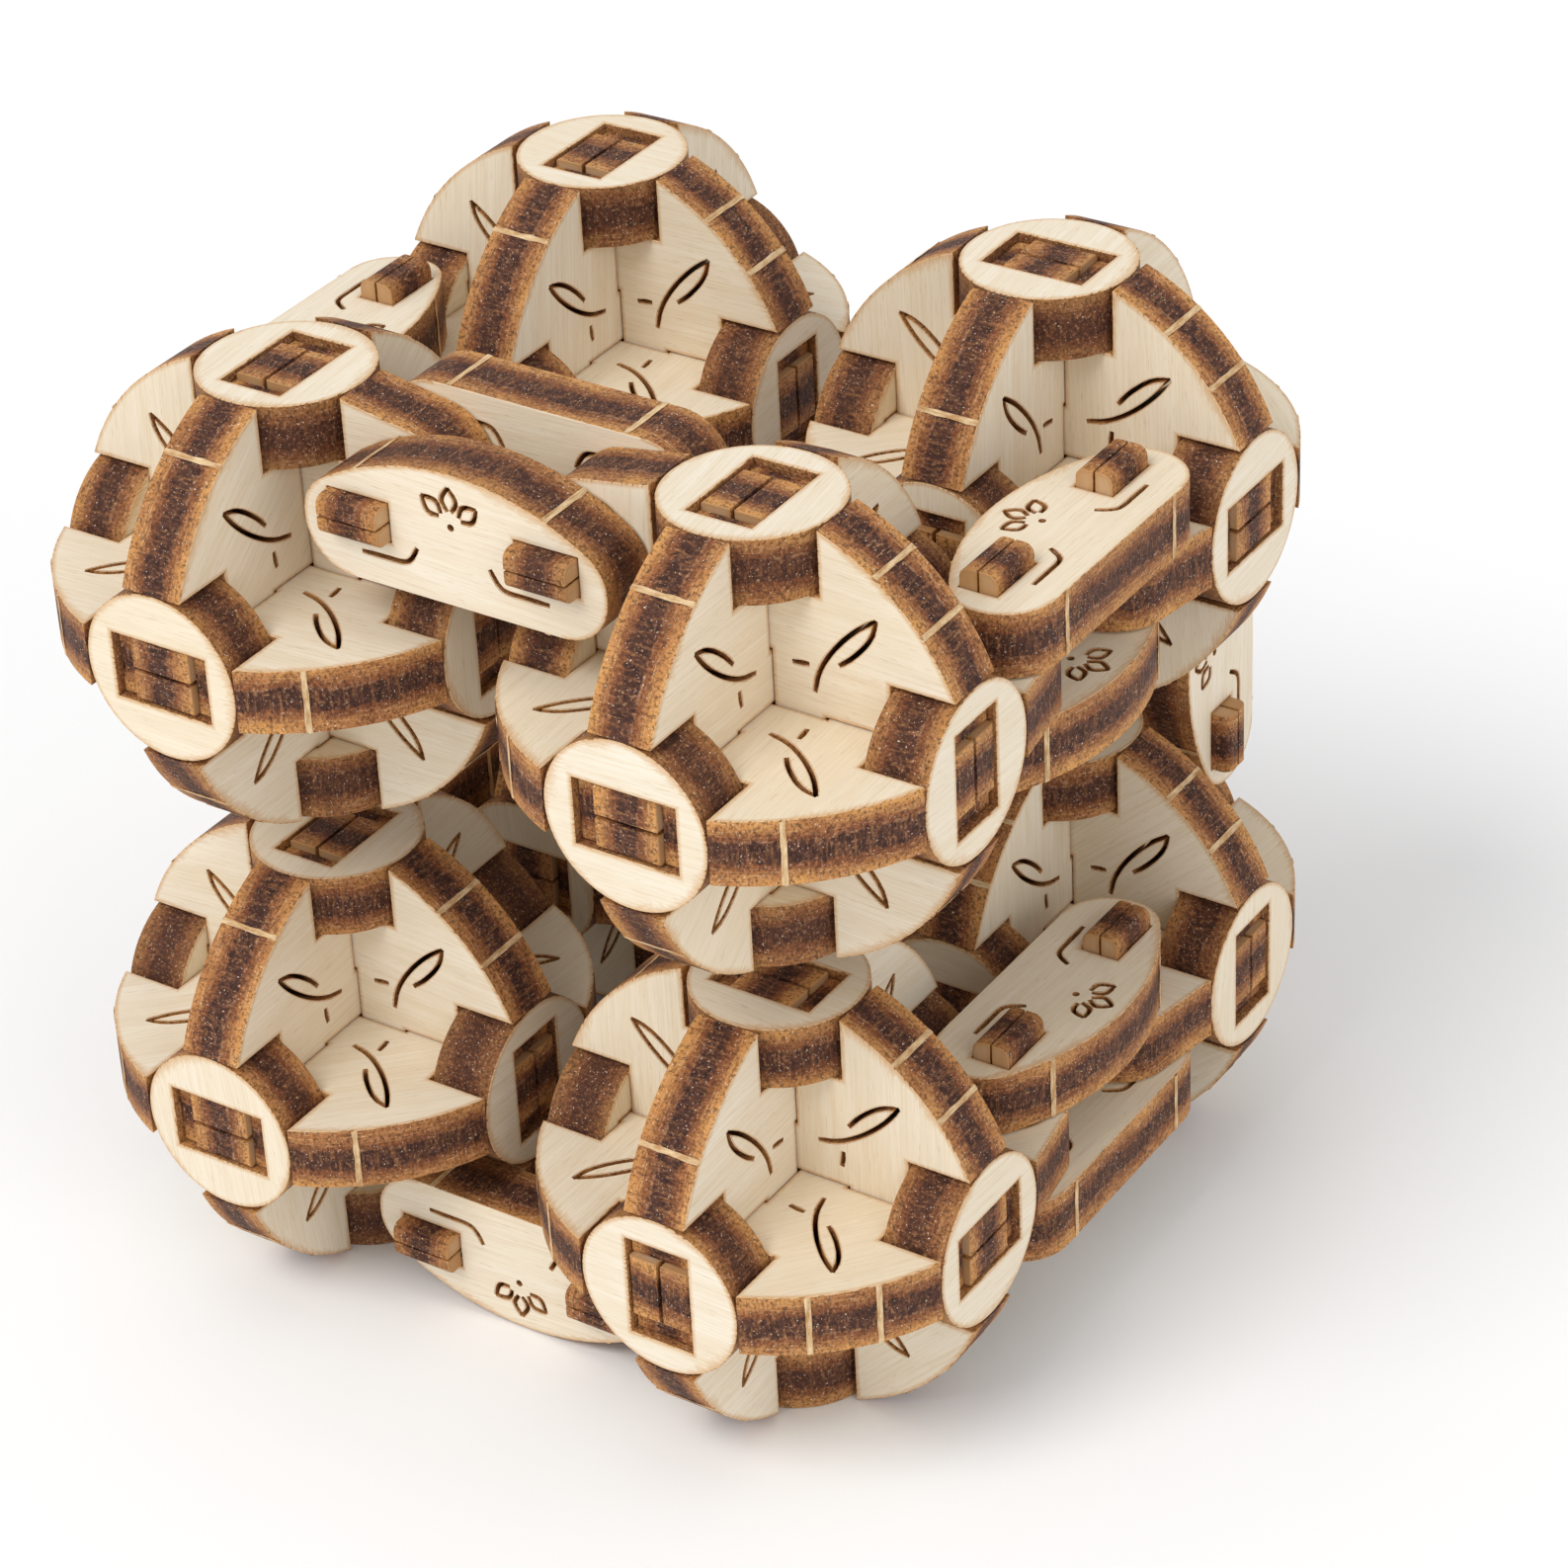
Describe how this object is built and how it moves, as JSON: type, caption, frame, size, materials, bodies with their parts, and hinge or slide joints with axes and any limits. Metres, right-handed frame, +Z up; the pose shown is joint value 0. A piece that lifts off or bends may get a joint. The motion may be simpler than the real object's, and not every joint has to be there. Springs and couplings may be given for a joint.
{
  "type": "folding wooden puzzle cube",
  "caption": "Laser-cut plywood folding puzzle cube: slotted open balls with round end caps, joined in a loop by arched double-pin links that let side columns swing out.",
  "frame": {"origin": "under the centre of the closed cube, on the plane of its lowest caps", "axes": "+X from the left balls to the right balls, +Y from the front pair to the back pair that swings, +Z up"},
  "size_m": [0.043, 0.043, 0.0431],
  "materials": {
    "plywood": "unfinished birch plywood with dark laser-cut edges"
  },
  "bodies": {
    "front": {"link_lower_front_pins": "plywood", "link_lower_front_plate_a": "plywood", "link_lower_front_plate_b": "plywood", "link_upper_front_pins": "plywood", "link_upper_front_plate_a": "plywood", "link_upper_front_plate_b": "plywood", "lower_front_left_caps": "plywood", "lower_front_left_xy": "plywood", "lower_front_left_yz": "plywood", "lower_front_left_zx": "plywood", "lower_front_right_caps": "plywood", "lower_front_right_xy": "plywood", "lower_front_right_yz": "plywood", "lower_front_right_zx": "plywood", "upper_front_left_caps": "plywood", "upper_front_left_xy": "plywood", "upper_front_left_yz": "plywood", "upper_front_left_zx": "plywood", "upper_front_right_caps": "plywood", "upper_front_right_xy": "plywood", "upper_front_right_yz": "plywood", "upper_front_right_zx": "plywood"},
    "right_upper_link": {"link_upper_right_pins": "plywood", "link_upper_right_plate_a": "plywood", "link_upper_right_plate_b": "plywood"},
    "right_lower_link": {"link_lower_right_pins": "plywood", "link_lower_right_plate_a": "plywood", "link_lower_right_plate_b": "plywood"},
    "right_column": {"link_back_right_pins": "plywood", "link_back_right_plate_a": "plywood", "link_back_right_plate_b": "plywood", "lower_back_right_caps": "plywood", "lower_back_right_xy": "plywood", "lower_back_right_yz": "plywood", "lower_back_right_zx": "plywood", "upper_back_right_caps": "plywood", "upper_back_right_xy": "plywood", "upper_back_right_yz": "plywood", "upper_back_right_zx": "plywood"},
    "left_upper_link": {"link_upper_left_pins": "plywood", "link_upper_left_plate_a": "plywood", "link_upper_left_plate_b": "plywood"},
    "left_lower_link": {"link_lower_left_pins": "plywood", "link_lower_left_plate_a": "plywood", "link_lower_left_plate_b": "plywood"},
    "left_column": {"link_back_left_pins": "plywood", "link_back_left_plate_a": "plywood", "link_back_left_plate_b": "plywood", "lower_back_left_caps": "plywood", "lower_back_left_xy": "plywood", "lower_back_left_yz": "plywood", "lower_back_left_zx": "plywood", "upper_back_left_caps": "plywood", "upper_back_left_xy": "plywood", "upper_back_left_yz": "plywood", "upper_back_left_zx": "plywood"}
  },
  "joints": [
    {"name": "right_link_swing", "type": "hinge", "parent": "front", "child": "right_upper_link", "pos_m": [0.01845, -0.00465, 0.0331], "axis": [0, 0, -1], "range_deg": [0, 90]},
    {"name": "right_lower_link_swing", "type": "hinge", "parent": "front", "child": "right_lower_link", "pos_m": [0.01845, -0.00465, 0.01], "axis": [0, 0, -1], "range_deg": [0, 90]},
    {"name": "right_column_swing", "type": "hinge", "parent": "right_upper_link", "child": "right_column", "pos_m": [0.01845, 0.00465, 0.0331], "axis": [0, 0, -1], "range_deg": [0, 90]},
    {"name": "left_link_swing", "type": "hinge", "parent": "front", "child": "left_upper_link", "pos_m": [-0.01845, -0.00465, 0.0331], "axis": [0, 0, 1], "range_deg": [0, 90]},
    {"name": "left_lower_link_swing", "type": "hinge", "parent": "front", "child": "left_lower_link", "pos_m": [-0.01845, -0.00465, 0.01], "axis": [0, 0, 1], "range_deg": [0, 90]},
    {"name": "left_column_swing", "type": "hinge", "parent": "left_upper_link", "child": "left_column", "pos_m": [-0.01845, 0.00465, 0.0331], "axis": [0, 0, 1], "range_deg": [0, 90]}
  ],
  "couplings": [
    {"joint": "right_lower_link_swing", "follows": "right_link_swing", "ratio": 1},
    {"joint": "left_lower_link_swing", "follows": "left_link_swing", "ratio": 1}
  ]
}
